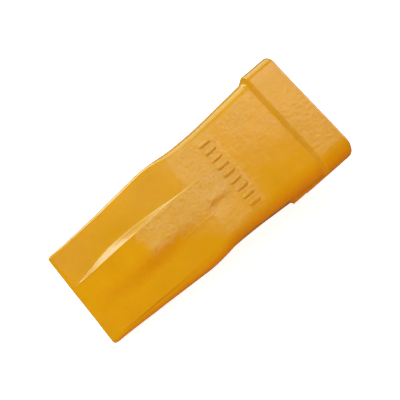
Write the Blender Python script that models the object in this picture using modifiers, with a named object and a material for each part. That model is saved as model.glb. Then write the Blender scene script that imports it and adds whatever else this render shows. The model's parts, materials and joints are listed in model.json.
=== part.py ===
"""Excavator bucket tooth for a side-pinned adapter, with its lock pin and two lock washers.

The tooth is drawn in its own frame, in metres: Y runs from the digging tip (y = 0) to the mouth of the
socket, X runs across, and Z runs up from the mid-plane, which is a plane of symmetry. An empty then tips
everything nose-down, so that the tooth stands on its collar and on the crest of its rib, with the floor
at z = 0 and the middle of its footprint at the origin.
"""
import math

import bmesh
import bpy
from mathutils import Vector

# Driving dimensions
LENGTH = 0.295
COLLAR_HALF_WIDTH = 0.0660
COLLAR_HALF_HEIGHT = 0.058
COLLAR_FRONT = 0.262
REST_SLOPE = math.radians(8.2)
BODY_SLOPE = math.radians(10.3)
NECK_SLOPE = math.radians(3)
STEP_HEIGHT = 0.006
COLLAR_INSET = 0.009
COLLAR_RAMP = 0.006
COLLAR_CORNER = 0.016
REAR_ROUNDING = 0.0035
TIP_HALF_HEIGHT = 0.0065
TIP_HALF_WIDTH = 0.0543
BLADE_HALF_WIDTH = 0.0610
WAIST_HALF_WIDTH = 0.0578
BODY_HALF_WIDTH = 0.0640
HOLLOW_HALF_WIDTH = 0.0567
HOLLOW_DEPTH = 0.003

# Stations along the tooth
TIP_FLAT_END = 0.013
HOLLOW = 0.055
RIB_CREST = 0.081
BLADE_WIDEST = 0.130
FLANK_END = 0.147
WAIST = 0.157
SHOULDER = 0.190

# Rib between the two flanks
RIB_HALF_WIDTH = 0.014
RIB_RISE = 0.0014
RIB_END = 0.181
RIB_END_RAMP = 0.004
BURIED = 0.003

# Socket for the adapter's nose: half width, half height and corner radius at its stations
SOCKET_END = 0.135
SOCKET_WALLS = (
    (SOCKET_END, 0.0400, 0.0150, 0.006),
    (SHOULDER, 0.0440, 0.0245, 0.007),
    (COLLAR_FRONT, 0.0480, 0.0375, 0.009),
    (LENGTH, 0.0500, 0.0455, 0.010),
)

# Pin, its bosses, and the round washer seats inside the cheeks
PIN_Y = 0.250
PIN_RADIUS = 0.012
PIN_HALF_LENGTH = 0.0628
PIN_CHAMFER = 0.002
PIN_HOLE_RADIUS = 0.0125
HOLE_CUT = COLLAR_HALF_WIDTH + 0.004
GROOVE_RADIUS = 0.0105
GROOVE_HALF_WIDTH = 0.0035
WASHER_TRAVEL = 0.012
BOSS_RADIUS = 0.0195
BOSS_FACE = 0.0657
BOSS_ROOT = 0.054
SEAT_RADIUS = 0.024
SEAT_FLOOR = 0.0575
SEAT_MOUTH = 0.040
GAP = 0.0003

# Lock washer: steel ring, rubber ring and three steel keys, all about the pin's axis
WASHER_THICKNESS = 0.0084
WASHER_MIDDLE = SEAT_FLOOR - GAP - WASHER_THICKNESS / 2
RING_OUTER = 0.0234
RING_INNER = 0.0200
RING_LIP_INNER = 0.0165
RING_LIP = 0.0015
RUBBER_INNER = 0.0129
KEY_INNER = 0.0108
KEY_OUTER = 0.0147
KEY_HALF_THICKNESS = GROOVE_HALF_WIDTH - GAP
KEY_COUNT = 3
KEY_ANGLE = math.radians(88)
POCKET_ANGLE = math.radians(92)

# Raised pad with a row of plain bars
PAD_FRONT = 0.179
PAD_REAR = 0.200
PAD_HALF_WIDTH = 0.046
PAD_RISE = 0.0008
PAD_TILT = math.radians(7.7)
PAD_DEPTH = 0.006
BAR_RISE = 0.0018
BAR_PITCH = 0.0095
BAR_COUNT = 9
BAR_RADIUS = 0.0017
BAR_HALF_LENGTH = 0.0045
BAR_DEPTH = 0.008
BAR_STEPS = 8

CORNER_STEPS = 5
ROUND_STEPS = 48


def new_collection(name):
    collection = bpy.data.collections.new(name)
    bpy.context.scene.collection.children.link(collection)
    return collection


def paint(name, color, roughness, metallic):
    material = bpy.data.materials.new(name)
    material.use_nodes = True
    shader = material.node_tree.nodes["Principled BSDF"]
    shader.inputs["Base Color"].default_value = (*color, 1.0)
    shader.inputs["Roughness"].default_value = roughness
    shader.inputs["Metallic"].default_value = metallic
    return material


def add_object(name, mesh, material, collection, parent):
    piece = bpy.data.objects.new(name, mesh)
    collection.objects.link(piece)
    piece.parent = parent
    if material:
        mesh.materials.append(material)
        mesh.shade_smooth()
        mesh.set_sharp_from_angle(angle=math.radians(30))
    else:
        piece.hide_render = True
        piece.display_type = "WIRE"
    return piece


def add_empty(name, collection, parent=None):
    empty = bpy.data.objects.new(name, None)
    collection.objects.link(empty)
    empty.parent = parent
    return empty


def rounded_ring(y, half_width, half_height, radius):
    """Points of a rounded rectangle that lies across the tooth at station y."""
    points = []
    for quarter, (side_x, side_z) in enumerate(((1, 1), (-1, 1), (-1, -1), (1, -1))):
        centre_x = side_x * (half_width - radius)
        centre_z = side_z * (half_height - radius)
        for step in range(CORNER_STEPS + 1):
            angle = (quarter + step / CORNER_STEPS) * math.pi / 2
            x = centre_x + radius * math.cos(angle)
            z = centre_z + radius * math.sin(angle)
            points.append(Vector((x, y, z)))
    return points


def ridge_ring(y, half_width, height):
    """Six points of a ridge with 45 degree walls, the same above and below the mid-plane."""
    foot = half_width + height
    return [
        Vector((half_width, y, height)),
        Vector((-half_width, y, height)),
        Vector((-foot, y, 0)),
        Vector((-half_width, y, -height)),
        Vector((half_width, y, -height)),
        Vector((foot, y, 0)),
    ]


def loft(name, rings):
    """Closed mesh through rings that all have the same number of points."""
    shape = bmesh.new()
    rows = [[shape.verts.new(point) for point in ring] for ring in rings]
    count = len(rows[0])
    for near, far in zip(rows, rows[1:]):
        for i in range(count):
            k = (i + 1) % count
            shape.faces.new((near[i], near[k], far[k], far[i]))
    shape.faces.new(rows[0])
    shape.faces.new(rows[-1])
    bmesh.ops.recalc_face_normals(shape, faces=shape.faces)
    mesh = bpy.data.meshes.new(name)
    shape.to_mesh(mesh)
    shape.free()
    return mesh


def slab(name, outlines, thickness):
    """Flat plate about z = 0 from closed outlines, of which the inner ones are holes."""
    curve = bpy.data.curves.new(name, "CURVE")
    curve.dimensions = "2D"
    curve.fill_mode = "BOTH"
    curve.extrude = thickness / 2
    for outline in outlines:
        spline = curve.splines.new("POLY")
        spline.points.add(len(outline) - 1)
        for point, (x, y) in zip(spline.points, outline):
            point.co = (x, y, 0, 1)
        spline.use_cyclic_u = True
    holder = bpy.data.objects.new(name, curve)
    bpy.context.scene.collection.objects.link(holder)
    graph = bpy.context.evaluated_depsgraph_get()
    mesh = bpy.data.meshes.new_from_object(holder.evaluated_get(graph))
    shape = bmesh.new()
    shape.from_mesh(mesh)
    bmesh.ops.remove_doubles(shape, verts=shape.verts, dist=0.00001)
    shape.to_mesh(mesh)
    shape.free()
    bpy.data.objects.remove(holder)
    return mesh


def arc(radius, start, end, steps):
    """Points on a circle about the origin, both ends included."""
    angles = [start + (end - start) * step / steps for step in range(steps + 1)]
    return [(radius * math.cos(angle), radius * math.sin(angle)) for angle in angles]


def turned(name, profile, material, collection, parent):
    """Solid of revolution about its own Z, from (radius, height) points that run down its outer side."""
    mesh = bpy.data.meshes.new(name)
    last = len(profile) - 1
    closed = profile[0][0] > 0
    edges = [(i, i + 1) for i in range(last)] + ([(last, 0)] if closed else [])
    mesh.from_pydata([(radius, 0, height) for radius, height in profile], edges, [])
    piece = add_object(name, mesh, material, collection, parent)
    screw = piece.modifiers.new("turn", "SCREW")
    screw.steps = ROUND_STEPS
    screw.render_steps = ROUND_STEPS
    screw.use_merge_vertices = True
    screw.merge_threshold = 0.00001
    return piece


def combine(piece, other, operation):
    modifier = piece.modifiers.new(other.name, "BOOLEAN")
    modifier.operation = operation
    modifier.object = other


def collar_height(y):
    """Half height of the plane on which the tooth stands, at station y."""
    return COLLAR_HALF_HEIGHT - (LENGTH - y) * math.tan(REST_SLOPE)


def body_height(y):
    """Half height of the body's top at station y: flat, but for the shallow hollow along the flanks."""
    front = collar_height(COLLAR_FRONT) - STEP_HEIGHT
    shoulder = front - (COLLAR_FRONT - SHOULDER) * math.tan(BODY_SLOPE)
    if y >= SHOULDER:
        return front - (COLLAR_FRONT - y) * math.tan(BODY_SLOPE)
    flank_end = shoulder - (SHOULDER - FLANK_END) * math.tan(NECK_SLOPE)
    if y >= FLANK_END:
        return flank_end + (y - FLANK_END) * math.tan(NECK_SLOPE)
    fall = (flank_end - TIP_HALF_HEIGHT) / (FLANK_END - TIP_FLAT_END)
    share = min((y - TIP_FLAT_END) / (HOLLOW - TIP_FLAT_END), (FLANK_END - y) / (FLANK_END - HOLLOW))
    return flank_end - (FLANK_END - y) * fall - HOLLOW_DEPTH * share


def body_mesh():
    """Chisel blade with its hollow flanks, and the box of the body up into the collar."""
    tip = [
        (0.0, TIP_HALF_WIDTH - 0.004, TIP_HALF_HEIGHT - 0.003, 0.003),
        (0.0015, TIP_HALF_WIDTH - 0.002, TIP_HALF_HEIGHT - 0.0015, 0.004),
        (0.004, TIP_HALF_WIDTH, TIP_HALF_HEIGHT - 0.0008, 0.004),
    ]
    body_end = COLLAR_FRONT + BURIED
    profile = (
        (TIP_FLAT_END, TIP_HALF_WIDTH, 0.0045),
        (HOLLOW, HOLLOW_HALF_WIDTH, 0.006),
        (BLADE_WIDEST, BLADE_HALF_WIDTH, 0.009),
        (FLANK_END, WAIST_HALF_WIDTH + 0.0008, 0.010),
        (WAIST, WAIST_HALF_WIDTH, 0.011),
        (SHOULDER, WAIST_HALF_WIDTH + 0.001, 0.012),
        (body_end, BODY_HALF_WIDTH, 0.013),
    )
    stations = tip + [(y, width, body_height(y), radius) for y, width, radius in profile]
    return loft("body", [rounded_ring(*station) for station in stations])


def collar_mesh():
    """Raised band round the socket's mouth, with a sloping front step and a rounded rear edge."""
    stations = (
        (COLLAR_FRONT - COLLAR_RAMP, COLLAR_INSET),
        (COLLAR_FRONT, 0.0),
        (LENGTH - REAR_ROUNDING, 0.0),
        (LENGTH - REAR_ROUNDING * 0.3, REAR_ROUNDING * 0.3),
        (LENGTH, REAR_ROUNDING),
    )
    rings = []
    for y, inset in stations:
        half_width = COLLAR_HALF_WIDTH - inset
        rings.append(rounded_ring(y, half_width, collar_height(y) - inset, COLLAR_CORNER - inset))
    return loft("collar", rings)


def rib_mesh():
    """Ridge that runs from the tip over its crest to the body, above and below at once."""
    stations = (
        (TIP_FLAT_END - BURIED, TIP_HALF_HEIGHT - BURIED / 2),
        (RIB_CREST, collar_height(RIB_CREST)),
        (FLANK_END, body_height(FLANK_END) + RIB_RISE),
        (RIB_END, body_height(RIB_END) + RIB_RISE),
        (RIB_END + RIB_END_RAMP, body_height(RIB_END) - BURIED),
    )
    return loft("rib", [ridge_ring(y, RIB_HALF_WIDTH, height) for y, height in stations])


def socket_mesh():
    """Tapered hollow for the adapter's nose, carried straight on past the mouth."""
    rings = [rounded_ring(*station) for station in SOCKET_WALLS]
    mouth = SOCKET_WALLS[-1]
    rings.append(rounded_ring(LENGTH + 0.005, mouth[1] + 0.0005, mouth[2] + 0.001, mouth[3]))
    return loft("socket", rings)


def add_cylinder(name, radius, start_x, end_x, collection, parent):
    """Cutter about the pin's axis between two places on X."""
    shape = bmesh.new()
    bmesh.ops.create_cone(
        shape, cap_ends=True, segments=ROUND_STEPS, radius1=radius, radius2=radius, depth=end_x - start_x
    )
    mesh = bpy.data.meshes.new(name)
    shape.to_mesh(mesh)
    shape.free()
    cutter = add_object(name, mesh, None, collection, parent)
    cutter.rotation_euler = (0, math.pi / 2, 0)
    cutter.location = ((start_x + end_x) / 2, PIN_Y, 0)
    return cutter


def add_boss(name, side, cutters, parent):
    """Round-fronted pad on a cheek that runs back into the collar."""
    back = COLLAR_FRONT + BURIED - PIN_Y
    outline = [(x, -y) for x, y in arc(BOSS_RADIUS, 0, math.pi, 20)]
    outline += [(-BOSS_RADIUS, back), (BOSS_RADIUS, back)]
    boss = add_object(name, slab(name, [outline], BOSS_FACE - BOSS_ROOT), None, cutters, parent)
    boss.rotation_euler = (0, math.pi / 2, 0)
    boss.location = (side * (BOSS_FACE + BOSS_ROOT) / 2, PIN_Y, 0)
    return boss


def add_marks(cutters, parent):
    """Pad that follows the body's slope, with a row of plain round-ended bars on it."""
    shape = bmesh.new()
    bmesh.ops.create_cube(shape, size=1)
    size = (2 * PAD_HALF_WIDTH, PAD_REAR - PAD_FRONT, PAD_DEPTH)
    bmesh.ops.scale(shape, verts=shape.verts, vec=size)
    mesh = bpy.data.meshes.new("pad")
    shape.to_mesh(mesh)
    shape.free()
    middle = (PAD_FRONT + PAD_REAR) / 2
    pad = add_object("pad", mesh, None, cutters, parent)
    pad.rotation_euler = (PAD_TILT, 0, 0)
    pad.location = (0, middle, body_height(middle) + PAD_RISE - PAD_DEPTH / 2)
    marks = [pad]
    outline = [(x, y + BAR_HALF_LENGTH) for x, y in arc(BAR_RADIUS, 0, math.pi, BAR_STEPS)]
    outline += [(x, y - BAR_HALF_LENGTH) for x, y in arc(BAR_RADIUS, math.pi, math.tau, BAR_STEPS)]
    for i in range(BAR_COUNT):
        name = f"bar_{i + 1}"
        bar = add_object(name, slab(name, [outline], BAR_DEPTH), None, cutters, parent)
        bar.rotation_euler = (PAD_TILT, 0, 0)
        across = (i - (BAR_COUNT - 1) / 2) * BAR_PITCH
        bar.location = (across, middle, body_height(middle) + BAR_RISE - BAR_DEPTH / 2)
        marks.append(bar)
    return marks


def build_casting(parts, cutters, frame, material):
    casting = add_object("tooth_casting", body_mesh(), material, parts, frame)
    joined = [
        add_object("rib", rib_mesh(), None, cutters, frame),
        add_object("collar", collar_mesh(), None, cutters, frame),
        add_boss("boss_left", -1, cutters, frame),
        add_boss("boss_right", 1, cutters, frame),
        *add_marks(cutters, frame),
    ]
    removed = [
        add_object("socket", socket_mesh(), None, cutters, frame),
        add_cylinder("pin_hole", PIN_HOLE_RADIUS, -HOLE_CUT, HOLE_CUT, cutters, frame),
        add_cylinder("seat_left", SEAT_RADIUS, -SEAT_FLOOR, -SEAT_MOUTH, cutters, frame),
        add_cylinder("seat_right", SEAT_RADIUS, SEAT_MOUTH, SEAT_FLOOR, cutters, frame),
    ]
    for other in joined:
        combine(casting, other, "UNION")
    for other in removed:
        combine(casting, other, "DIFFERENCE")


def build_pin(parts, frame, material):
    """Plain round chamfered pin, with a groove as long as each washer's way in, for its keys."""
    half = [(PIN_RADIUS - PIN_CHAMFER, PIN_HALF_LENGTH), (PIN_RADIUS, PIN_HALF_LENGTH - PIN_CHAMFER)]
    upper = WASHER_MIDDLE + GROOVE_HALF_WIDTH
    lower = WASHER_MIDDLE - GROOVE_HALF_WIDTH - WASHER_TRAVEL
    half += [(PIN_RADIUS, upper), (GROOVE_RADIUS, upper), (GROOVE_RADIUS, lower), (PIN_RADIUS, lower)]
    profile = [(0.0, PIN_HALF_LENGTH), *half]
    profile += [(radius, -height) for radius, height in reversed(profile)]
    pin = turned("lock_pin", profile, material, parts, frame)
    pin.rotation_euler = (0, math.pi / 2, 0)
    pin.location = (0, PIN_Y, 0)


def build_washer(side_name, side, parts, frame, steel, rubber):
    """Ring with a lip towards the socket, rubber with a pocket for each key, and the keys."""
    holder = add_empty(f"washer_{side_name}", parts, frame)
    holder.location = (side * WASHER_MIDDLE, PIN_Y, 0)
    holder.rotation_euler = (0, -side * math.pi / 2, 0)
    half = WASHER_THICKNESS / 2
    profile = [
        (RING_OUTER, half),
        (RING_OUTER, -half),
        (RING_INNER, -half),
        (RING_INNER, half - RING_LIP),
        (RING_LIP_INNER, half - RING_LIP),
        (RING_LIP_INNER, half),
    ]
    turned(f"lock_ring_{side_name}", profile, steel, parts, holder)
    rubber_half = half - RING_LIP - GAP
    spacing = math.tau / KEY_COUNT
    pockets = []
    for key in range(KEY_COUNT):
        start = math.pi / 2 + key * spacing - POCKET_ANGLE / 2
        end = start + POCKET_ANGLE
        pockets += arc(KEY_OUTER + GAP, start, end, 10)
        pockets += arc(RUBBER_INNER, end, start + spacing, 4)
    last = ROUND_STEPS - 1
    rim = arc(RING_INNER - GAP, 0, math.tau * last / ROUND_STEPS, last)
    mesh = slab(f"lock_rubber_{side_name}", [rim, pockets], 2 * rubber_half)
    add_object(f"lock_rubber_{side_name}", mesh, rubber, parts, holder)
    half_angle = KEY_ANGLE / 2
    outline = arc(KEY_OUTER, -half_angle, half_angle, 10) + arc(KEY_INNER, half_angle, -half_angle, 10)
    for key in range(KEY_COUNT):
        name = f"lock_key_{side_name}_{key + 1}"
        piece = add_object(name, slab(name, [outline], 2 * KEY_HALF_THICKNESS), steel, parts, holder)
        piece.rotation_euler = (0, 0, math.pi / 2 - side * key * spacing)


def stand_on_floor(parts, frame):
    """Move everything so that the middle of the underside's box is at the origin."""
    bpy.context.view_layer.update()
    graph = bpy.context.evaluated_depsgraph_get()
    corners = []
    for piece in parts.objects:
        if piece.type == "MESH":
            solid = piece.evaluated_get(graph)
            corners += [solid.matrix_world @ vertex.co for vertex in solid.data.vertices]
    low = Vector([min(corner[axis] for corner in corners) for axis in range(3)])
    high = Vector([max(corner[axis] for corner in corners) for axis in range(3)])
    frame.location = (0, -(low.y + high.y) / 2, -low.z)


def main():
    for old in list(bpy.data.objects):
        bpy.data.objects.remove(old)
    parts = new_collection("excavator_bucket_tooth")
    cutters = new_collection("cutters")
    frame = add_empty("tooth_frame", parts)
    frame.rotation_euler = (REST_SLOPE, 0, 0)
    yellow = paint("yellow_paint", (0.78, 0.39, 0.02), 0.35, 0.0)
    steel = paint("oiled_steel", (0.33, 0.32, 0.31), 0.35, 1.0)
    rubber = paint("black_rubber", (0.02, 0.02, 0.02), 0.8, 0.0)
    build_casting(parts, cutters, frame, yellow)
    build_pin(parts, frame, steel)
    build_washer("left", -1, parts, frame, steel, rubber)
    build_washer("right", 1, parts, frame, steel, rubber)
    stand_on_floor(parts, frame)


main()
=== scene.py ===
import json
import math

import bmesh
import bpy
import numpy as np
from mathutils import Matrix, Vector, noise


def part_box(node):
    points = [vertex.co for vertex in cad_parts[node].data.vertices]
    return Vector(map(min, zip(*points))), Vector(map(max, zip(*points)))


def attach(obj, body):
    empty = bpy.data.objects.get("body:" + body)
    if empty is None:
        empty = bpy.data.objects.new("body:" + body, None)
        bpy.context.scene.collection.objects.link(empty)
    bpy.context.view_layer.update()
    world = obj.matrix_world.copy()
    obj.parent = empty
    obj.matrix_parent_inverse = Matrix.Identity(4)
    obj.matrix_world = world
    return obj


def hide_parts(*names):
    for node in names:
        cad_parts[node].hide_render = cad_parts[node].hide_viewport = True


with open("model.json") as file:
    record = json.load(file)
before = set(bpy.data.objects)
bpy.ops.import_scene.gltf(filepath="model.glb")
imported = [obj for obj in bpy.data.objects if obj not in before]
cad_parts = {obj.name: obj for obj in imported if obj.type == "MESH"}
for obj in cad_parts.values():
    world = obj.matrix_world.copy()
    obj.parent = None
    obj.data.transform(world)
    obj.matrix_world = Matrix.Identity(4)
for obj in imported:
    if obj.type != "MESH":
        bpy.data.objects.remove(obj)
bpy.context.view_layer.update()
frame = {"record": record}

# Driving dimensions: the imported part's, apart from the collar's fall, the corners and the rib's start
LENGTH = 0.295
COLLAR_HALF_WIDTH = 0.0660
COLLAR_HALF_HEIGHT = 0.058
COLLAR_FRONT = 0.262
COLLAR_FALL = 2.3
COLLAR_CORNER = 0.0185
COLLAR_LEFT_CORNER = 0.0125
LEFT_TIGHTER = 0.0024
REAR_ROUNDING = 0.0035
STEP_HEIGHT = 0.006
TIP_HALF_HEIGHT = 0.0065
TIP_CORNER = 0.0050
BODY_SLOPE = math.radians(10.3)
NECK_SLOPE = math.radians(3)
TIP_FLAT_END = 0.013
HOLLOW = 0.055
HOLLOW_DEPTH = 0.003
RIB_CREST = 0.081
FLANK_END = 0.147
SHOULDER = 0.190
HALF_WIDTHS = ((0.0, 0.0543), (0.013, 0.0543), (0.130, 0.0610), (0.147, 0.0586), (0.157, 0.0578),
               (0.190, 0.0588), (0.265, 0.0640))
CORNER_RADII = ((0.0, 0.0040), (0.013, 0.0048), (0.130, 0.0100), (0.147, 0.0130), (0.157, 0.0140),
                (0.190, 0.0155), (0.235, 0.0175), (0.254, 0.0178))
RIB_HALF_WIDTH = 0.014
RIB_RISE = 0.0014
RIB_START = 0.0085
MOULD_LINE_X = 0.0216
SOCKET_WALLS = ((0.135, 0.0400, 0.0150, 0.006), (0.190, 0.0440, 0.0245, 0.007),
                (0.262, 0.0480, 0.0375, 0.009), (0.295, 0.0500, 0.0455, 0.010))
PIN_Y = 0.250
PIN_HOLE_RADIUS = 0.0125
BOSS_RADIUS = 0.0195
BOSS_FACE = 0.0657
SEAT_RADIUS = 0.024
SEAT_FLOOR = 0.0575
SEAT_MOUTH = 0.040
PAD_FRONT = 0.179
PAD_REAR = 0.200
PAD_HALF_WIDTH = 0.046
PAD_RISE = 0.0008
BAR_RISE = 0.0018
BAR_PITCH = 0.0095
BAR_COUNT = 9
BAR_RADIUS = 0.0017
BAR_HALF_LENGTH = 0.0045
CLOUD_X = -0.041
CLOUD_Y = 0.240

# Lock washers
GAP = 0.0003
WASHER_THICKNESS = 0.0084
WASHER_MIDDLE = SEAT_FLOOR - GAP - WASHER_THICKNESS / 2
RING_OUTER = 0.0234
RING_INNER = 0.0200
RING_LIP_INNER = 0.0165
RING_LIP = 0.0015
RUBBER_INNER = 0.0129
KEY_INNER = 0.0108
KEY_OUTER = 0.0147
KEY_HALF_THICKNESS = 0.0032
KEY_TRAVEL = 0.0015
KEY_COUNT = 3
KEY_ANGLE = math.radians(88)
POCKET_ANGLE = math.radians(96)
PIN_CHAMFER = 0.002
GROOVE_RADIUS = 0.0105
GROOVE_HALF_WIDTH = 0.0035
WASHER_TRAVEL = 0.012

# Camera, in the tooth's frame
CAMERA_TURN = 0.139
CAMERA_TILT = 0.195
CAMERA_ROLL = 0.881
CAMERA_DISTANCE = 0.460
CAMERA_TARGET = Vector((0.001, 0.152, 0.020))
LENS_MM = 41.4


def mount_axis(name):
    """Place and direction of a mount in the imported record."""
    for mount in frame["record"]["mounts"]:
        if mount["name"] == name:
            return Vector(mount["pos_m"]), Vector(mount["axis"])
    raise ValueError(f"the packed part has no mount named {name}")


def tooth_to_row():
    """Matrix from the tooth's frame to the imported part's, from the socket's end face."""
    seat, axis = mount_axis("nose_seat")
    slope = math.atan2(axis.z, axis.y)
    origin = seat - axis.normalized() * SOCKET_WALLS[0][0]
    return Matrix.Translation(origin) @ Matrix.Rotation(slope, 4, "X")


TO_ROW = tooth_to_row()
REST_SLOPE = TO_ROW.to_euler().x


# ---------------------------------------------------------------- small shape functions

def smooth_min(a, b, reach):
    """The lower of two values, with the corner between them rounded over reach."""
    share = np.clip(0.5 + 0.5 * (b - a) / reach, 0, 1)
    return b + (a - b) * share - reach * share * (1 - share)


def smooth_max(a, b, reach):
    return -smooth_min(-np.asarray(a, float), -np.asarray(b, float), reach)


def fade(value, start, end):
    """0 before start and 1 after end, turning smoothly between them."""
    share = np.clip((value - start) / (end - start), 0, 1)
    return share * share * (3 - 2 * share)


def soft_interp(y, points, reach):
    """A line through points, with its kinks rounded over reach on both sides."""
    places = [place for place, _ in points]
    values = [value for _, value in points]
    steps = np.linspace(-reach, reach, 9)
    return float(np.mean(np.interp(y + steps, places, values)))


def collar_height(y):
    """Half height of the plane on which the tooth stands."""
    return COLLAR_HALF_HEIGHT - (LENGTH - y) * math.tan(REST_SLOPE)


FRONT_HEIGHT = collar_height(COLLAR_FRONT) - STEP_HEIGHT
SHOULDER_HEIGHT = FRONT_HEIGHT - (COLLAR_FRONT - SHOULDER) * math.tan(BODY_SLOPE)
FLANK_HEIGHT = SHOULDER_HEIGHT - (SHOULDER - FLANK_END) * math.tan(NECK_SLOPE)
FLANK_FALL = (FLANK_HEIGHT - TIP_HALF_HEIGHT) / (FLANK_END - TIP_FLAT_END)


def body_height(y, hollow=HOLLOW_DEPTH):
    """Half height of the body's flat top: hollow blade flank, neck, then the slope up to the collar."""
    flank = TIP_HALF_HEIGHT + (y - TIP_FLAT_END) * FLANK_FALL
    flank -= soft_interp(y, ((0.011, 0.0), (0.030, hollow * 0.75), (HOLLOW, hollow), (FLANK_END, 0.0)), 0.008)
    neck = FLANK_HEIGHT + (y - FLANK_END) * math.tan(NECK_SLOPE)
    slope = SHOULDER_HEIGHT + (y - SHOULDER) * math.tan(BODY_SLOPE)
    rear = smooth_max(neck, slope, 0.0012)
    front = smooth_max(flank, TIP_HALF_HEIGHT - 0.0006 + 0.04 * (y - TIP_FLAT_END), 0.0005)
    return smooth_min(front, rear, 0.0006)


def collar_inset(y):
    """How far the collar's surface lies inside its full size at station y."""
    return smooth_max((COLLAR_FRONT - y) * COLLAR_FALL, 0, 0.0014)


def outline(y):
    """Half width, half height, and the radii of the right and left corners of the outside at station y."""
    inset = collar_inset(y)
    width = smooth_max(soft_interp(y, HALF_WIDTHS, 0.012), COLLAR_HALF_WIDTH - inset, 0.0012)
    height = smooth_max(body_height(y), collar_height(y) - inset, 0.0009)
    radius = soft_interp(y, CORNER_RADII, 0.010)
    left = radius - LEFT_TIGHTER * fade(y, 0.060, 0.130)
    on_collar = fade(y, 0.2565, COLLAR_FRONT)
    radius += (COLLAR_CORNER - radius) * on_collar
    left += (COLLAR_LEFT_CORNER - left) * on_collar
    return float(width), float(height), float(radius), float(left)


def rib_foot(y, side):
    """How far the rib's wall reaches out from its top edge at station y."""
    points = ((0.006, 0.0), (0.011, 0.0010), (0.016, 0.0018), (0.020, 0.0026), (0.026, 0.0040),
              (0.040, 0.0074), (0.055, 0.0090), (0.084, 0.0084), (0.118, 0.0056), (0.140, 0.0026),
              (0.148, 0.0010))
    reach = soft_interp(y, points, 0.003) + 0.0002
    if side > 0:
        widening = 0.0030 * (1 - fade(y, 0.148, 0.1545)) + 0.0004
        return reach * 1.25 + widening + 0.0034 * scar_share(y)
    return reach


def rib_height(y):
    """Half height of the rib's flat top at station y."""
    tip = (RIB_START, TIP_HALF_HEIGHT - 0.0002)
    crest = (RIB_CREST, collar_height(RIB_CREST))
    slope = (crest[1] - tip[1]) / (crest[0] - tip[0])
    rise = (FLANK_HEIGHT + RIB_RISE - crest[1]) / (FLANK_END - RIB_CREST)
    front = crest[1] + (y - RIB_CREST) * slope
    rear = crest[1] + (y - RIB_CREST) * rise
    left_over = RIB_RISE - 0.0009 * fade(y, FLANK_END, 0.156) - 0.0002 * fade(y, 0.156, 0.180)
    neck = FLANK_HEIGHT + (y - FLANK_END) * math.tan(NECK_SLOPE) + left_over - 0.0010 * fade(y, 0.174, 0.186)
    return smooth_min(smooth_min(front, rear, 0.0008), neck, 0.0010)


def scar_share(y):
    """Strength of the wedge-shaped scar right of the rib's root, which ends abruptly at its front."""
    return float(fade(y, 0.1545, 0.1562) * (1 - fade(y, 0.156, 0.187)))


def add_rib(x, y, base):
    """Top surface at (x, y) with the rib on it: crisp top edges on the left, softer ones on the right."""
    scar = scar_share(y)
    top = rib_height(y) + 0.0013 * scar * fade(x, 0.0, 0.0105)
    height = top
    if x > 0:
        dent = 0.0014 * float(fade(y, 0.150, 0.157) * (1 - fade(y, 0.157, 0.187)))
        base = base - dent * (1 - fade(x, RIB_HALF_WIDTH, 0.036))
    forward = 1 - fade(y, 0.120, 0.150)
    for side in (-1, 1):
        edge = RIB_HALF_WIDTH - (0.0028 * scar + 0.0020 * forward if side > 0 else 0.0009 * forward)
        wall = top - (side * x - edge) * np.maximum(top - base, 0.0002) / rib_foot(y, side)
        height = smooth_min(height, wall, 0.0003 if side < 0 or y > 0.150 else 0.0024)
    return smooth_max(base, height, 0.0004 if y > 0.150 else 0.0008 if x < 0 else 0.0024)


def add_ridge(x, y):
    """Fine raised line that the mould's joint leaves along the right of the rib."""
    across = max(0.0, 1 - abs(x - MOULD_LINE_X) / 0.0011)
    return 0.0005 * across * float(fade(y, 0.108, 0.114) * (1 - fade(y, 0.149, 0.153)))


def rumple(x, y, size, seed):
    """Smooth noise from about -1 to 1, with features of the given size."""
    return noise.noise(Vector((x / size, y / size, seed)))


def pad_rise(x, y):
    """Rise of the worn raised pad behind the neck, at (x, y) on the upper side."""
    ragged = 0.0012 * rumple(x, y, 0.007, 3.1) + 0.0008 * rumple(x, y, 0.0025, 5.7)
    out = max(abs(x) - PAD_HALF_WIDTH, PAD_FRONT - y, y - PAD_REAR) + ragged
    crisp = float(fade(y, 0.190, 0.198)) * float(1 - fade(abs(x + 0.012), 0.020, 0.036))
    reach = 0.0070 - 0.0064 * crisp
    return PAD_RISE * 0.75 * float(1 - fade(out, -reach, 0.0004))


def bars_mesh():
    """Row of plain round-ended bars that stand on the pad, each a little uneven, as cast characters are."""
    shape = bmesh.new()
    middle = (PAD_FRONT + PAD_REAR) / 2
    half = (BAR_COUNT - 1) // 2
    layers = ((-0.003, 0.0008), (0.0002, 0.0007), (BAR_RISE - 0.0004, -0.0004), (BAR_RISE, -0.0009))
    for bar in range(-half, half + 1):
        rings = []
        for height, grow in layers:
            ring = []
            for end in (1, -1):
                for step in range(9):
                    angle = end * math.pi / 2 + (step / 8 - 0.5) * math.pi
                    radius = BAR_RADIUS + grow
                    x = bar * BAR_PITCH + radius * math.cos(angle)
                    y = middle + end * BAR_HALF_LENGTH + radius * math.sin(angle)
                    uneven = 0.00025 * rumple(x, y, 0.0035, 1.0 + height * 900)
                    z = body_height(y) + height - abs(uneven)
                    ring.append(shape.verts.new((x + uneven, y + uneven, z)))
            rings.append(ring)
        for low, high in zip(rings, rings[1:]):
            for k in range(len(low)):
                m = (k + 1) % len(low)
                shape.faces.new((low[k], low[m], high[m], high[k]))
        shape.faces.new(rings[0])
        shape.faces.new(rings[-1])
    bmesh.ops.triangulate(shape, faces=[face for face in shape.faces if len(face.verts) > 4])
    bmesh.ops.recalc_face_normals(shape, faces=shape.faces)
    mesh = bpy.data.meshes.new("bars")
    shape.to_mesh(mesh)
    shape.free()
    return mesh


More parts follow.
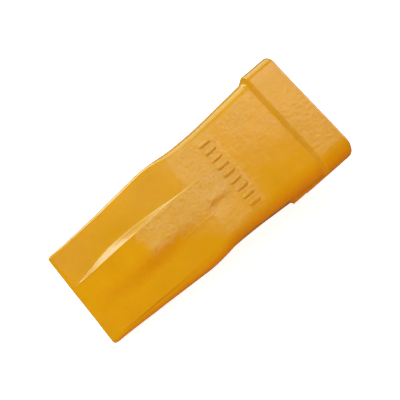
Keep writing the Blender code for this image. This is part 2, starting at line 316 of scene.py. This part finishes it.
def boss_rise(y, z, base):
    """Half width of a cheek with its pin boss, a round-fronted pad that runs back into the collar."""
    off = math.hypot(y - PIN_Y, z) if y < PIN_Y else abs(z)
    wall = BOSS_FACE - max(0.0, off - BOSS_RADIUS) * 2.2
    return float(smooth_max(base, smooth_min(BOSS_FACE, wall, 0.0010), 0.0010))


# ---------------------------------------------------------------- the casting's outer skin

FIXED_REACH = 0.044
OUTER_COLUMNS = 4
CORNER_STEPS = 10
SIDE_STEPS = 36
TOP_STEP = 0.0008
BOTTOM_STEP = 0.0014


def columns(right_limit, left_limit, step):
    """X places across, right to left: fixed in the middle, finer at the rib's edges, scaled outside."""
    middle = [0.0]
    while middle[-1] < FIXED_REACH - step:
        x = middle[-1]
        fine = 0.0098 < x < 0.0152
        middle.append(x + (0.0005 if fine else step))
    right, left = ([limit + (middle[-1] - limit) * i / OUTER_COLUMNS for i in range(OUTER_COLUMNS)]
                   for limit in (right_limit, left_limit))
    return right + middle[::-1] + [-x for x in middle[1:]] + [-x for x in reversed(left)]


def corner(centre_x, centre_z, radius, y, quarter):
    """Points on a rounded corner, without its two ends."""
    points = []
    for step in range(1, CORNER_STEPS):
        angle = (quarter + step / CORNER_STEPS) * math.pi / 2
        points.append((centre_x + radius * math.cos(angle), y, centre_z + radius * math.sin(angle)))
    return points


def outer_ring(y, inset=0.0):
    """Points round the outside at station y, starting at the right end of the top."""
    width, height, *radii = outline(y)
    width -= inset
    height -= inset
    radius, left_radius = (min(max(value - inset, 0.0008), height - 0.0004) for value in radii)
    flat_x, flat_z = width - radius, height - radius
    left_x, left_z = left_radius - width, height - left_radius
    ribbed = 0.004 < y < 0.189
    marked = PAD_FRONT - 0.004 < y < PAD_REAR + 0.004
    bossed = y > 0.2 and not inset
    top, under, left, right = [], [], [], []
    for x in columns(flat_x, -left_x, TOP_STEP):
        z = height
        if ribbed:
            z += (body_height(y, HOLLOW_DEPTH * 0.5) - body_height(y)) * fade(x, -0.006, 0.010)
            z = float(add_rib(x, y, z)) + add_ridge(x, y)
        top.append((x, y, z + (pad_rise(x, y) if marked else 0.0)))
    for x in reversed(columns(flat_x, -left_x, BOTTOM_STEP)):
        under.append((x, y, -float(add_rib(x, y, height)) if ribbed else -height))
    for step in range(SIDE_STEPS + 1):
        along = 1 - 2 * step / SIDE_STEPS
        for side, z, points in ((-1, left_z * along, left), (1, -flat_z * along, right)):
            points.append((side * (boss_rise(y, z, width) if bossed else width), y, z))
    return [*top, *corner(left_x, left_z, left_radius, y, 1),
            *left, *corner(left_x, -left_z, left_radius, y, 2),
            *under, *corner(flat_x, -flat_z, radius, y, 3),
            *right, *corner(flat_x, flat_z, radius, y, 0)]


def outer_stations():
    """(y, inset) along the outside, closer together where the surface turns."""
    stations = []
    for step in range(7):
        angle = step / 7 * math.pi / 2
        stations.append((TIP_CORNER * (1 - math.cos(angle)) * 0.9, TIP_CORNER * (1 - math.sin(angle)) * 0.62))
    y = TIP_CORNER
    end = LENGTH - REAR_ROUNDING
    while y < end:
        stations.append((y, 0.0))
        fine = PAD_FRONT - 0.003 < y < PAD_REAR + 0.003 or 0.257 < y < 0.265
        y += 0.0007 if fine else 0.0013
    for step in range(7):
        angle = step / 6 * math.pi / 2
        stations.append((end + REAR_ROUNDING * math.sin(angle), REAR_ROUNDING * (1 - math.cos(angle))))
    return stations


def grid_mesh(name, rings):
    """Closed mesh through rings with the same number of points, with a flat cap at each end."""
    rows = np.array(rings, float)
    count, around = rows.shape[:2]
    index = np.arange(count * around).reshape(count, around)
    near, far = index[:-1], index[1:]
    quads = np.stack([near, far, np.roll(far, -1, 1), np.roll(near, -1, 1)], -1).reshape(-1, 4)
    faces = quads.tolist() + [index[0].tolist(), index[-1][::-1].tolist()]
    mesh = bpy.data.meshes.new(name)
    mesh.from_pydata(rows.reshape(-1, 3).tolist(), [], faces)
    shape = bmesh.new()
    shape.from_mesh(mesh)
    bmesh.ops.recalc_face_normals(shape, faces=shape.faces)
    shape.to_mesh(mesh)
    shape.free()
    return mesh


def rough_share(x, y, z):
    """1 where the sand-cast skin is coarse, 0 where it is ground or smooth."""
    on_top = float(fade(z, 0.010, 0.016)) * float(1 - fade(abs(x), 0.044, 0.053))
    ragged = 0.006 * rumple(x, y, 0.008, 2.2) + 0.003 * rumple(x, y, 0.003, 4.2)
    reach = 0.0190 + 0.0100 * float(fade(y, 0.100, 0.140))
    side = 1 - fade(abs(x), 0.0128, 0.0150) if x < 0 else 1 - fade(x + ragged, 0.012, reach)
    rib = float(side * fade(y + ragged, 0.076, 0.090) * (1 - fade(y, 0.190, 0.205)))
    if x < 0:
        front = 0.141 + 0.006 * rumple(x, y, 0.020, 6.1)
    else:
        front = 0.140 - 0.036 * float(1 - fade(x, 0.020, 0.048))
    neck = float(fade(y + 0.6 * ragged, front, 0.155) * (1 - fade(y + ragged, 0.190, 0.215)))
    neck *= 1 - 0.35 * float(fade(x, 0.010, 0.035))
    body = (0.32 - 0.30 * float(fade(x, -0.045, 0.040))) * float(fade(y, 0.195, 0.215))
    body = max(body, 0.85 * cloud_share(x, y, z), 0.5 * float(fade(y, 0.256, 0.262)))
    blotch = 0.5 + 0.5 * rumple(x, y, 0.020, 9.4)
    return min(1.0, on_top * max(rib, neck * (0.40 + 0.60 * blotch), body))


def cloud_share(x, y, z):
    """1 in the middle of the pitted patch at the left of the body's top, behind the pad."""
    off = math.hypot(x - CLOUD_X, (y - CLOUD_Y) * 0.8) + 0.010 * rumple(x, y, 0.008, 7.7)
    return float(1 - fade(off, 0.003, 0.017)) * float(fade(z, 0.030, 0.035))


def weather(mesh):
    """Lets the skin wave and grain inwards a little, as sand moulding leaves it."""
    count = len(mesh.vertices)
    places = np.zeros(count * 3)
    mesh.vertices.foreach_get("co", places)
    places = places.reshape(-1, 3)
    normals = np.zeros(count * 3)
    mesh.vertex_normals.foreach_get("vector", normals)
    normals = normals.reshape(-1, 3)
    for i, (x, y, z) in enumerate(places):
        wave = 0.5 + 0.5 * noise.noise(Vector((x, y, z)) / 0.034)
        dent = 0.5 + 0.5 * noise.noise(Vector((x, y, z + 0.4)) / 0.011)
        grain = 0.5 + 0.5 * noise.noise(Vector((x + 0.7, y, z)) / 0.0030)
        depth = 0.00030 * wave + 0.00018 * dent + (0.00004 + 0.00095 * rough_share(x, y, z)) * grain
        places[i] -= normals[i] * depth
    mesh.vertices.foreach_set("co", places.ravel())
    mesh.update()


# ---------------------------------------------------------------- cutters

def rounded_ring(y, half_width, half_height, radius, steps=8, spacing=0.004):
    """Points of a rounded rectangle across the tooth, with its straight sides divided up."""
    points = []
    across = max(2, int((SOCKET_WALLS[0][1] - 0.006) * 2 / spacing))
    upright = 8
    corners = ((1, 1, across), (-1, 1, upright), (-1, -1, across), (1, -1, upright))
    for quarter, (side_x, side_z, divisions) in enumerate(corners):
        centre = Vector((side_x * (half_width - radius), y, side_z * (half_height - radius)))
        for step in range(steps + 1):
            angle = (quarter + step / steps) * math.pi / 2
            points.append(centre + Vector((radius * math.cos(angle), 0, radius * math.sin(angle))))
        following = corners[(quarter + 1) % 4]
        goal = Vector((following[0] * (half_width - radius), y, following[1] * (half_height - radius)))
        turn = (quarter + 1) * math.pi / 2
        goal += Vector((radius * math.cos(turn), 0, radius * math.sin(turn)))
        start = points[-1].copy()
        points += [start.lerp(goal, part / divisions) for part in range(1, divisions)]
    return [tuple(point) for point in points]


def socket_mesh():
    """Tapered hollow with a rounded end and a mouth that flares out over a small radius."""
    flare = 0.0022
    ends = SOCKET_WALLS[0][0]
    rings = []
    round_end = 0.004
    for step in range(5):
        angle = step / 5 * math.pi / 2
        back = round_end * (1 - math.sin(angle))
        rings.append((ends + round_end * (1 - math.cos(angle)), -back))
    y = ends + round_end
    while y < LENGTH - flare:
        rings.append((y, 0.0))
        y += 0.004
    for step in range(6):
        angle = step / 5 * math.pi / 2
        rings.append((LENGTH - flare * (1 - math.sin(angle)), flare * (1 - math.cos(angle))))
    rings.append((LENGTH + 0.006, flare))
    places = [wall[0] for wall in SOCKET_WALLS]
    rows = []
    for y, grow in rings:
        width, height, radius = (float(np.interp(y, places, [wall[i] for wall in SOCKET_WALLS]))
                                 for i in (1, 2, 3))
        rows.append(rounded_ring(y, width + grow, height + grow, max(radius + grow, 0.003)))
    mesh = grid_mesh("socket", rows)
    for vertex in mesh.vertices:
        if vertex.co.y < LENGTH - 0.01:
            vertex.co *= 1 - 0.004 * noise.noise(vertex.co / 0.02)
    return mesh


def turned_mesh(name, profile, steps):
    """Solid of revolution about Z, from (radius, height) points that end on the axis or close a ring."""
    rings = []
    for step in range(steps):
        angle = step / steps * math.tau
        rings.append([(r * math.cos(angle), r * math.sin(angle), h) for r, h in profile])
    closed = profile[0][0] > 1e-6
    shape = bmesh.new()
    rows = [[shape.verts.new(point) for point in ring] for ring in rings]
    spans = len(profile) if closed else len(profile) - 1
    for i, row in enumerate(rows):
        other = rows[(i + 1) % steps]
        for k in range(spans):
            m = (k + 1) % len(profile)
            shape.faces.new((row[k], row[m], other[m], other[k]))
    bmesh.ops.remove_doubles(shape, verts=shape.verts, dist=1e-6)
    bmesh.ops.dissolve_degenerate(shape, edges=shape.edges, dist=1e-7)
    bmesh.ops.recalc_face_normals(shape, faces=shape.faces)
    mesh = bpy.data.meshes.new(name)
    shape.to_mesh(mesh)
    shape.free()
    return mesh


def link(name, mesh):
    """New object with this mesh, placed in the scene."""
    piece = bpy.data.objects.new(name, mesh)
    bpy.context.scene.collection.objects.link(piece)
    return piece


def pin_cutters():
    """Pin hole with a rounded rim in each boss, and the round washer seat inside each cheek."""
    rim = 0.0012
    out = BOSS_FACE + 0.003
    half = [(0.0, out), (PIN_HOLE_RADIUS + rim, out), (PIN_HOLE_RADIUS + rim, BOSS_FACE - 0.0002)]
    for step in range(1, 6):
        angle = step / 5 * math.pi / 2
        half.append((PIN_HOLE_RADIUS + rim * (1 - math.sin(angle)),
                     BOSS_FACE - rim * (1 - math.cos(angle)) - 0.0002))
    half += [(PIN_HOLE_RADIUS, SEAT_FLOOR), (SEAT_RADIUS - 0.0008, SEAT_FLOOR)]
    half += [(SEAT_RADIUS, SEAT_FLOOR - 0.0008), (SEAT_RADIUS, SEAT_MOUTH)]
    half.append((PIN_HOLE_RADIUS, SEAT_MOUTH - 0.002))
    profile = half + [(radius, -height) for radius, height in reversed(half)]
    cutter = link("pin_cutter", turned_mesh("pin_cutter", profile, 72))
    cutter.matrix_world = Matrix.Translation((0, PIN_Y, 0)) @ Matrix.Rotation(math.pi / 2, 4, "Y")
    return cutter


def applied(piece):
    """The piece's mesh with its modifiers applied."""
    graph = bpy.context.evaluated_depsgraph_get()
    mesh = bpy.data.meshes.new_from_object(piece.evaluated_get(graph))
    piece.modifiers.clear()
    piece.data = mesh
    return piece


def combine(piece, others, operation):
    """Joins other solids to the piece or cuts them out of it."""
    for other in others:
        modifier = piece.modifiers.new(other.name, "BOOLEAN")
        modifier.operation = operation
        modifier.solver = "EXACT"
        modifier.object = other
    applied(piece)
    for other in others:
        bpy.data.objects.remove(other)


def finish_mesh(piece, sharp_degrees):
    """Splits faces of more than four corners and smooths all but the sharp edges."""
    shape = bmesh.new()
    shape.from_mesh(piece.data)
    bmesh.ops.triangulate(shape, faces=[face for face in shape.faces if len(face.verts) > 4])
    shape.to_mesh(piece.data)
    shape.free()
    piece.data.shade_smooth()
    piece.data.set_sharp_from_angle(angle=math.radians(sharp_degrees))


def bare_share(x, y, z):
    """1 deep inside the socket and its holes, where the paint didn't reach, and 0 outside."""
    width, height, radius, _ = outline(min(y, LENGTH - REAR_ROUNDING))
    over_x, over_z = abs(x) - (width - radius), abs(z) - (height - radius)
    depth = radius - math.hypot(max(over_x, 0.0), max(over_z, 0.0)) - min(max(over_x, over_z), 0.0)
    if depth < 0.003 or y < 0.1:
        return 0.0
    ragged = 0.012 * rumple(x, y, 0.016, z / 0.016) + 0.004 * rumple(x, y, 0.004, z / 0.004)
    return float(1 - fade(y + ragged, 0.235, 0.275)) * float(fade(depth, 0.003, 0.005))


def mark_zones(mesh):
    """Stores how coarse and how bare the skin is at each point, for the paint's nodes."""
    places = [tuple(vertex.co) for vertex in mesh.vertices]
    for name, rule in (("coarse", rough_share), ("bare", bare_share)):
        zone = mesh.attributes.new(name, "FLOAT", "POINT")
        zone.data.foreach_set("value", [rule(*place) for place in places])


def build_casting():
    mesh = grid_mesh("tooth", [outer_ring(y, inset) for y, inset in outer_stations()])
    weather(mesh)
    casting = link("casting_painted", mesh)
    combine(casting, [link("bars", bars_mesh())], "UNION")
    combine(casting, [link("socket", socket_mesh()), pin_cutters()], "DIFFERENCE")
    finish_mesh(casting, 38)
    mark_zones(casting.data)
    casting.data.transform(TO_ROW)
    dress(casting, paint_material(), "tooth", "tooth_casting")
    print("casting triangles", sum(len(face.vertices) - 2 for face in casting.data.polygons))


def dress(piece, material, body, node):
    """Gives a finished piece its material and its place in the frame."""
    piece.data.materials.clear()
    piece.data.materials.append(material)
    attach(piece, body)
    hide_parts(node)


# ---------------------------------------------------------------- materials

def add_node(tree, kind, inputs=None, **settings):
    """New node with its settings, whose inputs are given by name or number as values or as other sockets."""
    node = tree.nodes.new(kind)
    for key, value in settings.items():
        setattr(node, key, value)
    for key, value in (inputs or {}).items():
        socket = node.inputs[key]
        if isinstance(value, bpy.types.NodeSocket):
            tree.links.new(value, socket)
        else:
            socket.default_value = value
    return node


def new_material(name):
    material = bpy.data.materials.new(name)
    material.use_nodes = True
    tree = material.node_tree
    return material, tree, tree.nodes["Principled BSDF"]


def noise_value(tree, place, scale, detail=2.0, roughness=0.5):
    node = add_node(tree, "ShaderNodeTexNoise",
                    {"Vector": place, "Scale": scale, "Detail": detail, "Roughness": roughness})
    return node.outputs["Fac"]


def remap(tree, value, low, high, new_low=0.0, new_high=1.0):
    node = add_node(tree, "ShaderNodeMapRange", {"Value": value, "From Min": low, "From Max": high,
                                                 "To Min": new_low, "To Max": new_high})
    return node.outputs["Result"]


def math_node(tree, operation, a, b=0.0):
    node = add_node(tree, "ShaderNodeMath", {0: a, 1: b}, operation=operation)
    return node.outputs["Value"]


def mix_color(tree, share, a, b):
    node = add_node(tree, "ShaderNodeMix", {0: share, 6: a, 7: b}, data_type="RGBA")
    return node.outputs[2]


def bump(tree, height, distance, strength=1.0, normal=None):
    inputs = {"Height": height, "Distance": distance, "Strength": strength}
    if normal:
        inputs["Normal"] = normal
    return add_node(tree, "ShaderNodeBump", inputs).outputs["Normal"]


def paint_material():
    """Glossy yellow-orange paint over a sand-cast skin, coarser where the casting was left as moulded, with a
    painted sheen that lightens the coarse zones.
    """
    material, tree, shader = new_material("yellow_orange_paint")
    place = add_node(tree, "ShaderNodeTexCoord").outputs["Object"]
    coarse = add_node(tree, "ShaderNodeAttribute", attribute_name="coarse").outputs["Fac"]

    cloudy = remap(tree, noise_value(tree, place, 26, 3), 0.35, 0.65)
    color = mix_color(tree, cloudy, (0.725, 0.330, 0.0012, 1), (0.775, 0.360, 0.0022, 1))
    mottle = remap(tree, noise_value(tree, place, 170, 4, 0.6), 0.45, 0.75, 0.0, 0.35)
    color = mix_color(tree, mottle, color, (0.700, 0.300, 0.0010, 1))
    speck_field = add_node(tree, "ShaderNodeTexVoronoi", {"Vector": place, "Scale": 105.0})
    rare = remap(tree, noise_value(tree, place, 60, 1), 0.56, 0.62)
    specks = math_node(tree, "MULTIPLY", remap(tree, speck_field.outputs["Distance"], 0.10, 0.06), rare)
    color = mix_color(tree, math_node(tree, "MULTIPLY", specks, 0.45), color, (0.46, 0.17, 0.004, 1))
    # Painted sheen: the coarse zones are mixed towards a paler colour, which stands in for the highlights
    # their rough paint would catch.
    sheen_noise = remap(tree, noise_value(tree, place, 120, 4, 0.6), 0.3, 0.7, 0.15, 0.62)
    painted_sheen = math_node(tree, "MULTIPLY", coarse, sheen_noise)
    color = mix_color(tree, painted_sheen, color, (0.790, 0.450, 0.105, 1))
    bare = add_node(tree, "ShaderNodeAttribute", attribute_name="bare").outputs["Fac"]
    scale = mix_color(tree, cloudy, (0.075, 0.052, 0.038, 1), (0.120, 0.070, 0.040, 1))
    color = mix_color(tree, bare, color, scale)
    tree.links.new(color, shader.inputs["Base Color"])

    patchy = remap(tree, noise_value(tree, place, 75, 4, 0.6), 0.3, 0.7, -0.04, 0.05)
    painted_rough = remap(tree, coarse, 0.0, 1.0, 0.18, 0.45)
    rough = math_node(tree, "MAXIMUM", painted_rough, math_node(tree, "MULTIPLY", bare, 0.7))
    tree.links.new(math_node(tree, "ADD", rough, patchy), shader.inputs["Roughness"])

    peel = bump(tree, noise_value(tree, place, 240, 2), 0.00012, 0.5)
    lumps = math_node(tree, "MULTIPLY", noise_value(tree, place, 390, 3, 0.55), coarse)
    peel = bump(tree, lumps, 0.0009, 0.9, peel)
    grain_height = math_node(tree, "MULTIPLY", noise_value(tree, place, 850, 4, 0.65), coarse)
    grain = bump(tree, grain_height, 0.00060, 0.9, peel)
    fine = bump(tree, noise_value(tree, place, 1500, 2), 0.00003, 0.6, grain)
    nubs = bump(tree, specks, 0.00025, 0.8, fine)
    tree.links.new(nubs, shader.inputs["Normal"])
    shader.inputs["IOR"].default_value = 1.48
    shader.inputs["Coat Weight"].default_value = 0.15
    shader.inputs["Coat Roughness"].default_value = 0.12
    return material


def steel_material(name, light, dark, roughness, ring_scale):
    """Turned or pressed steel: rings about the piece's own Z, a mottled oxide film and fine scratches."""
    material, tree, shader = new_material(name)
    place = add_node(tree, "ShaderNodeTexCoord").outputs["Object"]
    film = remap(tree, noise_value(tree, place, 90, 5, 0.6), 0.35, 0.68)
    color = mix_color(tree, film, (*light, 1), (*dark, 1))
    stain = remap(tree, noise_value(tree, place, 320, 3, 0.7), 0.60, 0.74, 0.0, 0.6)
    color = mix_color(tree, stain, color, (0.16, 0.085, 0.04, 1))
    tree.links.new(color, shader.inputs["Base Color"])
    shader.inputs["Metallic"].default_value = 1.0
    uneven = remap(tree, noise_value(tree, place, 210, 4, 0.6), 0.3, 0.7, roughness - 0.08, roughness + 0.12)
    tree.links.new(uneven, shader.inputs["Roughness"])
    stretched = add_node(tree, "ShaderNodeMapping", {"Vector": place, "Scale": (0.12, 0.12, 1.0)}).outputs[0]
    turned = noise_value(tree, stretched, ring_scale, 3, 0.6)
    marks = bump(tree, turned, 0.00006, 0.7)
    grain = bump(tree, noise_value(tree, place, 1300, 3), 0.00003, 0.5, marks)
    tree.links.new(grain, shader.inputs["Normal"])
    return material


def rubber_material():
    """Black moulded rubber with a bloom of dust and a fine pebble."""
    material, tree, shader = new_material("black_rubber")
    place = add_node(tree, "ShaderNodeTexCoord").outputs["Object"]
    bloom = remap(tree, noise_value(tree, place, 140, 5, 0.65), 0.42, 0.70)
    color = mix_color(tree, bloom, (0.014, 0.014, 0.015, 1), (0.045, 0.043, 0.040, 1))
    tree.links.new(color, shader.inputs["Base Color"])
    tree.links.new(remap(tree, bloom, 0.0, 1.0, 0.52, 0.78), shader.inputs["Roughness"])
    pebble = bump(tree, noise_value(tree, place, 900, 3, 0.6), 0.00008, 0.7)
    tree.links.new(pebble, shader.inputs["Normal"])
    return material


# ---------------------------------------------------------------- the lock set

def arc_points(radius, start, end, steps):
    """Points on a circle about the origin, both ends included."""
    angles = [start + (end - start) * step / steps for step in range(steps + 1)]
    return [(radius * math.cos(angle), radius * math.sin(angle)) for angle in angles]


def plate_mesh(name, outlines, thickness, rounding):
    """Flat plate about z = 0 with rounded edges, from closed outlines of which the inner ones are holes."""
    curve = bpy.data.curves.new(name, "CURVE")
    curve.dimensions = "2D"
    curve.fill_mode = "BOTH"
    curve.extrude = thickness / 2
    for points in outlines:
        spline = curve.splines.new("POLY")
        spline.points.add(len(points) - 1)
        for point, (x, y) in zip(spline.points, points):
            point.co = (x, y, 0, 1)
        spline.use_cyclic_u = True
    holder = link(name + "_curve", curve)
    mesh = bpy.data.meshes.new_from_object(holder.evaluated_get(bpy.context.evaluated_depsgraph_get()))
    bpy.data.objects.remove(holder)
    shape = bmesh.new()
    shape.from_mesh(mesh)
    bmesh.ops.remove_doubles(shape, verts=shape.verts, dist=1e-5)
    bmesh.ops.dissolve_limit(shape, angle_limit=0.01, verts=shape.verts, edges=shape.edges)
    rims = [edge for edge in shape.edges if edge.is_manifold and edge.calc_face_angle() > 0.8]
    bmesh.ops.bevel(shape, geom=rims, offset=rounding, offset_type="OFFSET", segments=3, profile=0.5,
                    affect="EDGES", clamp_overlap=True)
    bmesh.ops.triangulate(shape, faces=[face for face in shape.faces if len(face.verts) > 4])
    shape.to_mesh(mesh)
    shape.free()
    mesh.shade_smooth()
    mesh.set_sharp_from_angle(angle=math.radians(50))
    return mesh


def rounded_profile(points, rounding):
    """The same turned profile with each inner corner point replaced by a short arc."""
    rounded = []
    for i, point in enumerate(points):
        here = Vector(point)
        before = Vector(points[i - 1]) - here
        after = Vector(points[(i + 1) % len(points)]) - here
        reach = min(rounding, before.length * 0.4, after.length * 0.4)
        if point[0] < 1e-6 or reach < 1e-5:
            rounded.append(point)
            continue
        start = here + before.normalized() * reach
        end = here + after.normalized() * reach
        for step in range(4):
            share = step / 3
            place = start * (1 - share) ** 2 + here * 2 * share * (1 - share) + end * share ** 2
            rounded.append((place.x, place.y))
    return rounded


def place_turned(piece, matrix):
    """Smooths a turned piece and puts it in place."""
    piece.data.shade_smooth()
    piece.data.set_sharp_from_angle(angle=math.radians(40))
    piece.matrix_world = matrix


def build_pin(steel):
    """Turned pin with chamfered, centre-drilled ends and a groove as long as each washer's way in."""
    low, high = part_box("lock_pin")
    radius = (high.z - low.z) / 2
    end = high.x
    upper = WASHER_MIDDLE + GROOVE_HALF_WIDTH
    lower = WASHER_MIDDLE - GROOVE_HALF_WIDTH - WASHER_TRAVEL
    half = [(0.0, end - 0.0022), (0.0011, end - 0.0012), (0.0022, end - 0.0001), (radius - PIN_CHAMFER, end),
            (radius, end - PIN_CHAMFER), (radius, upper), (GROOVE_RADIUS, upper), (GROOVE_RADIUS, lower),
            (radius, lower)]
    profile = half + [(r, -h) for r, h in reversed(half)]
    pin = link("pin_turned", turned_mesh("pin_turned", rounded_profile(profile, 0.0004), 96))
    place_turned(pin, Matrix.Translation((low + high) / 2) @ TO_ROW.to_3x3().to_4x4()
                 @ Matrix.Rotation(math.pi / 2, 4, "Y"))
    dress(pin, steel, "pin", "lock_pin")


def build_washer(name, side, steel, rubber):
    """Lipped steel ring, pocketed rubber ring and three curved keys, all about the pin's axis."""
    middle = Matrix.Translation((side * WASHER_MIDDLE, PIN_Y, 0))
    holder = TO_ROW @ middle @ Matrix.Rotation(-side * math.pi / 2, 4, "Y")
    half = WASHER_THICKNESS / 2
    profile = [(RING_OUTER, half), (RING_OUTER, -half), (RING_INNER, -half), (RING_INNER, half - RING_LIP),
               (RING_LIP_INNER, half - RING_LIP), (RING_LIP_INNER, half)]
    ring = link(f"washer_ring_{name}", turned_mesh("ring", rounded_profile(profile, 0.0005), 96))
    place_turned(ring, holder)
    dress(ring, steel, f"washer_{name}", f"lock_ring_{name}")

    spacing = math.tau / KEY_COUNT
    pockets = []
    for key in range(KEY_COUNT):
        start = math.pi / 2 + key * spacing - POCKET_ANGLE / 2
        end = start + POCKET_ANGLE
        pockets += arc_points(KEY_OUTER + KEY_TRAVEL + GAP, start, end, 24)
        pockets += arc_points(RUBBER_INNER, end, start + spacing, 8)
    rim = arc_points(RING_INNER - GAP, 0, math.tau * 95 / 96, 95)
    rubber_thickness = 2 * (half - RING_LIP - GAP)
    pad = link(f"washer_rubber_{name}", plate_mesh("rubber", [rim, pockets], rubber_thickness, 0.0005))
    pad.matrix_world = holder
    dress(pad, rubber, f"washer_{name}", f"lock_rubber_{name}")

    half_angle = KEY_ANGLE / 2
    edge = arc_points(KEY_OUTER, -half_angle, half_angle, 24)
    edge += arc_points(KEY_INNER, half_angle, -half_angle, 24)
    for key in range(KEY_COUNT):
        mesh = plate_mesh("key", [edge], 2 * KEY_HALF_THICKNESS, 0.0005)
        piece = link(f"washer_key_{name}_{key + 1}", mesh)
        piece.matrix_world = holder @ Matrix.Rotation(math.pi / 2 - side * key * spacing, 4, "Z")
        dress(piece, steel, f"key_{name}_{key + 1}", f"lock_key_{name}_{key + 1}")


def build_lock():
    """The pin and both lock washers."""
    build_pin(steel_material("turned_steel", (0.42, 0.41, 0.40), (0.30, 0.29, 0.28), 0.32, 2600.0))
    pressed = steel_material("phosphated_steel", (0.30, 0.29, 0.27), (0.20, 0.19, 0.18), 0.42, 1400.0)
    rubber = rubber_material()
    build_washer("left", -1, pressed, rubber)
    build_washer("right", 1, pressed, rubber)


# ---------------------------------------------------------------- camera, lights and floor

def add_camera():
    """Looks down on the tooth from its upper side, turned so that the tip points down to the left."""
    sideways = math.sin(CAMERA_TURN)
    back = Vector((sideways, -math.sin(CAMERA_TILT) * math.cos(CAMERA_TURN),
                   math.cos(CAMERA_TURN) * math.cos(CAMERA_TILT))).normalized()
    right = Vector((0, 1, 0)).cross(back).normalized()
    up = back.cross(right)
    rolled_right = right * math.cos(CAMERA_ROLL) + up * math.sin(CAMERA_ROLL)
    rolled_up = up * math.cos(CAMERA_ROLL) - right * math.sin(CAMERA_ROLL)
    data = bpy.data.cameras.new("camera")
    data.lens = LENS_MM
    data.clip_start = 0.01
    camera = bpy.data.objects.new("camera", data)
    bpy.context.scene.collection.objects.link(camera)
    turn = Matrix((rolled_right, rolled_up, back)).transposed().to_4x4()
    camera.matrix_world = TO_ROW @ Matrix.Translation(CAMERA_TARGET + back * CAMERA_DISTANCE) @ turn
    bpy.context.scene.camera = camera


def add_softbox(name, place, target, size, radiance, color=(1, 1, 1), diffuse=True, glossy=True):
    """Rectangular lamp of even brightness that faces target. A card is seen only in reflections."""
    data = bpy.data.lights.new(name, "AREA")
    data.shape = "RECTANGLE"
    data.size, data.size_y = size
    data.color = color
    data.energy = radiance * math.pi * size[0] * size[1]
    lamp = bpy.data.objects.new(name, data)
    bpy.context.scene.collection.objects.link(lamp)
    lamp.location = place
    lamp.rotation_euler = (Vector(place) - Vector(target)).to_track_quat("Z", "Y").to_euler()
    lamp.visible_diffuse = diffuse
    lamp.visible_glossy = glossy
    lamp.visible_camera = False
    return lamp


def add_room():
    """Even surroundings: warm and dim around the tooth, darker in its reflections, and pale to the camera."""
    world = bpy.data.worlds.new("studio")
    bpy.context.scene.world = world
    world.use_nodes = True
    tree = world.node_tree
    tree.nodes.clear()
    path = add_node(tree, "ShaderNodeLightPath")
    glossy = mix_color(tree, path.outputs["Is Glossy Ray"], (*AMBIENT_COLOR, 1), (0.02, 0.02, 0.02, 1))
    seen = mix_color(tree, path.outputs["Is Camera Ray"], glossy, (1, 1, 1, 1))
    background = add_node(tree, "ShaderNodeBackground", {"Color": seen, "Strength": 1.0})
    output = add_node(tree, "ShaderNodeOutputWorld")
    tree.links.new(background.outputs[0], output.inputs["Surface"])


def add_floor():
    """Plain pale floor that isn't seen in reflections and casts no shadow."""
    size = 3.0
    mesh = bpy.data.meshes.new("floor")
    corners = [(-size, -size, 0), (size, -size, 0), (size, size, 0), (-size, size, 0)]
    mesh.from_pydata(corners, [], [(0, 1, 2, 3)])
    floor = link("floor", mesh)
    material, tree, shader = new_material("white_sweep")
    shader.inputs["Base Color"].default_value = (0.80, 0.80, 0.82, 1)
    shader.inputs["Roughness"].default_value = 0.9
    shader.inputs["Specular IOR Level"].default_value = 0.1
    shader.inputs["Emission Color"].default_value = (0.80, 0.90, 0.97, 1)
    path = add_node(tree, "ShaderNodeLightPath").outputs["Is Camera Ray"]
    tree.links.new(remap(tree, path, 0.0, 1.0, 0.15, 0.85), shader.inputs["Emission Strength"])
    mesh.materials.append(material)
    floor.visible_glossy = False
    floor.visible_shadow = False


AMBIENT_COLOR = (0.56, 0.36, 0.22)
KEY_COLOR = (0.58, 0.86, 1.0)
CARD_COLOR = (0.68, 1.0, 0.93)
FILL_COLOR = (1.0, 0.34, 0.10)


def add_lights():
    middle = (0.0, 0.0, 0.05)
    add_softbox("key_lamp", (-0.60, -0.42, 0.98), middle, (0.8, 0.8), 6.2, KEY_COLOR, glossy=False)
    add_softbox("overhead_card", (-0.34, 0.16, 1.0), middle, (0.46, 0.50), 2.6, diffuse=False)
    add_softbox("left_card", (-1.0, -0.45, -0.05), (0, -0.45, -0.05), (1.16, 0.46), 5.8, CARD_COLOR,
                diffuse=False)
    add_softbox("side_card", (-1.0, 0.28, 0.30), (0, 0.28, 0.30), (0.56, 0.80), 2.6, CARD_COLOR,
                diffuse=False)
    add_softbox("rear_card", (-0.10, 1.0, 0.80), middle, (1.2, 0.7), 5.0, diffuse=False)
    add_softbox("warm_fill", (1.1, -0.10, 0.30), middle, (0.7, 0.7), 1.7, FILL_COLOR, glossy=False)


def main():
    bpy.context.scene.view_settings.view_transform = "Standard"
    add_camera()
    add_room()
    add_floor()
    add_lights()
    build_casting()
    build_lock()


main()
